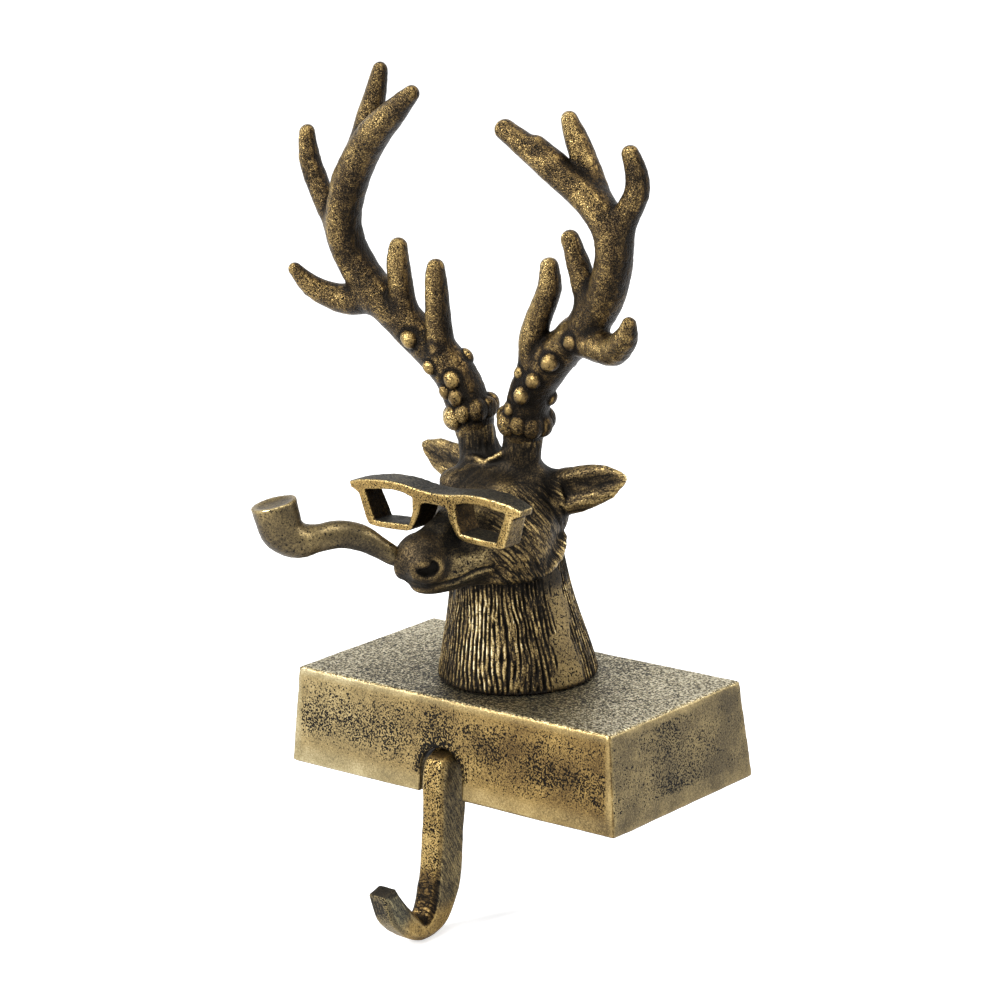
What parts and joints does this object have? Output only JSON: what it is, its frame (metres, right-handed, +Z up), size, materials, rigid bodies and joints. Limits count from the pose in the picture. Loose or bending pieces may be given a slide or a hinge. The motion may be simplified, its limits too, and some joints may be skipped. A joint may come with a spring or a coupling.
{
  "type": "mantel stocking holder",
  "caption": "Mantel stocking holder: a cast deer bust with spectacles and a pipe on a hollow drafted base, with a J hook hanging below its front edge.",
  "frame": {"origin": "centre of the base, on the plane of its four pads' undersides, where the holder stands on the mantel", "axes": "+Z up along the bust; -Y is the front, where the deer looks and the hook hangs; X runs across the base"},
  "size_m": [0.121, 0.1067, 0.2334],
  "materials": {
    "antique_brass_base": "sand-cast aluminium, plated and aged to antique brass, fine dark pits, rubbed edges",
    "antique_brass_hook": "sand-cast aluminium, antique brass, pitted front, brushed sides",
    "antique_brass_bust": "sand-cast aluminium, antique brass, dark in the fur grooves, rubbed ridges",
    "antique_brass_spectacles": "sand-cast aluminium, antique brass, front rubbed bright, fine dark pits",
    "antique_brass_antler": "sand-cast aluminium, antique brass, sandy speckle, rubbed pearls and tips",
    "antique_brass_pipe": "sand-cast aluminium, antique brass, satin",
    "steel_screw": "zinc-plated steel",
    "rubber_pad": "matte black self-adhesive bumper"
  },
  "bodies": {
    "root": {"base_casting": "antique_brass_base", "stocking_hook": "antique_brass_hook", "deer_head": "antique_brass_bust", "spectacles": "antique_brass_spectacles", "antler_right": "antique_brass_antler", "antler_left": "antique_brass_antler", "pipe": "antique_brass_pipe", "bust_screw": "steel_screw", "bust_washer": "steel_screw", "hook_screw_right": "steel_screw", "hook_screw_left": "steel_screw", "pad_front_right": "rubber_pad", "pad_front_left": "rubber_pad", "pad_back_right": "rubber_pad", "pad_back_left": "rubber_pad"}
  },
  "joints": []
}
